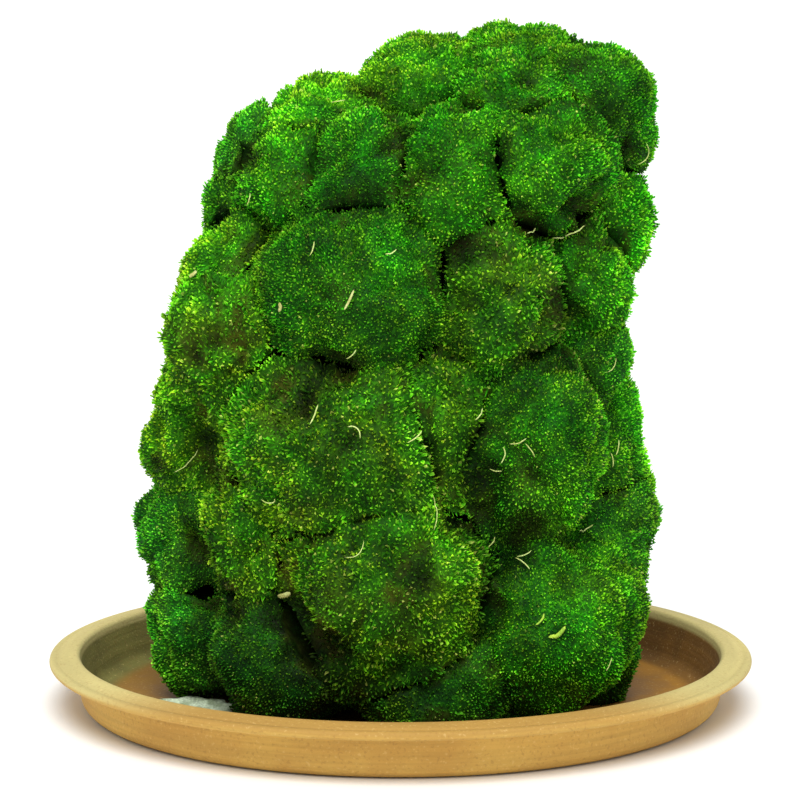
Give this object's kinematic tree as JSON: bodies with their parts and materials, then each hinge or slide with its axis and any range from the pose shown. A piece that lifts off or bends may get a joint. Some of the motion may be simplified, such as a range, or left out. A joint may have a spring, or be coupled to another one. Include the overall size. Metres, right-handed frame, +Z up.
{
  "type": "moss clump",
  "caption": "Tall leaning mound of pillow moss cushions, standing in a shallow round terracotta saucer with a flared lip.",
  "frame": {"origin": "middle of the saucer's underside, on the surface that it stands on", "axes": "+Z up through the saucer's middle; -Y is the clump's front, and +X is the side it leans to at the top"},
  "size_m": [0.3, 0.3, 0.2917],
  "materials": {
    "terracotta": "matt unglazed terracotta with fine speckle",
    "lichen": "matt, papery and ragged",
    "moss_bright": "matt pile of fine shoots, yellow-green",
    "moss_fresh": "matt pile of fine shoots, fresh green",
    "moss_deep": "matt velvety pile of fine shoots, deep green",
    "moss_olive": "matt coarse starry shoots, olive green",
    "moss_shade": "matt velvety pile of fine shoots, dark bluish green"
  },
  "bodies": {
    "root": {"saucer": "terracotta", "lichen_scrap": "lichen", "cushion_crown_front": "moss_fresh", "cushion_crown_left": "moss_bright", "cushion_crown_right": "moss_deep", "cushion_upper_left_ridge": "moss_bright", "cushion_upper_left_edge": "moss_shade", "cushion_upper_left_slope": "moss_fresh", "cushion_upper_left_shoulder": "moss_deep", "cushion_upper_middle_left": "moss_deep", "cushion_upper_middle": "moss_fresh", "cushion_upper_middle_right": "moss_fresh", "cushion_upper_right": "moss_fresh", "cushion_middle_left_top": "moss_bright", "cushion_middle_left_dome": "moss_deep", "cushion_middle_centre": "moss_olive", "cushion_middle_right": "moss_fresh", "cushion_left_flank": "moss_olive", "cushion_left_edge": "moss_bright", "cushion_centre_hollow": "moss_olive", "cushion_right_dome": "moss_deep", "cushion_right_flank": "moss_shade", "cushion_right_edge": "moss_deep", "cushion_front_big": "moss_olive", "cushion_front_left_drape": "moss_olive", "cushion_front_low": "moss_olive", "cushion_low_left": "moss_shade", "cushion_low_right": "moss_shade", "cushion_base_left": "moss_shade", "cushion_base_left_front": "moss_shade", "cushion_base_middle_front": "moss_shade", "cushion_base_right_front": "moss_deep", "cushion_base_right": "moss_shade", "cushion_crown_back": "moss_bright", "cushion_back_crown_left": "moss_fresh", "cushion_back_crown_right": "moss_deep", "cushion_back_shoulder_left": "moss_bright", "cushion_back_upper_middle": "moss_deep", "cushion_back_upper_left": "moss_olive", "cushion_back_upper_right": "moss_fresh", "cushion_back_middle_left": "moss_fresh", "cushion_back_middle": "moss_olive", "cushion_back_middle_right": "moss_deep", "cushion_back_low_left": "moss_deep", "cushion_back_low_middle": "moss_fresh", "cushion_back_low_right": "moss_olive", "cushion_back_base_left": "moss_shade", "cushion_back_base_middle": "moss_deep", "cushion_back_base_right": "moss_shade"}
  },
  "joints": []
}
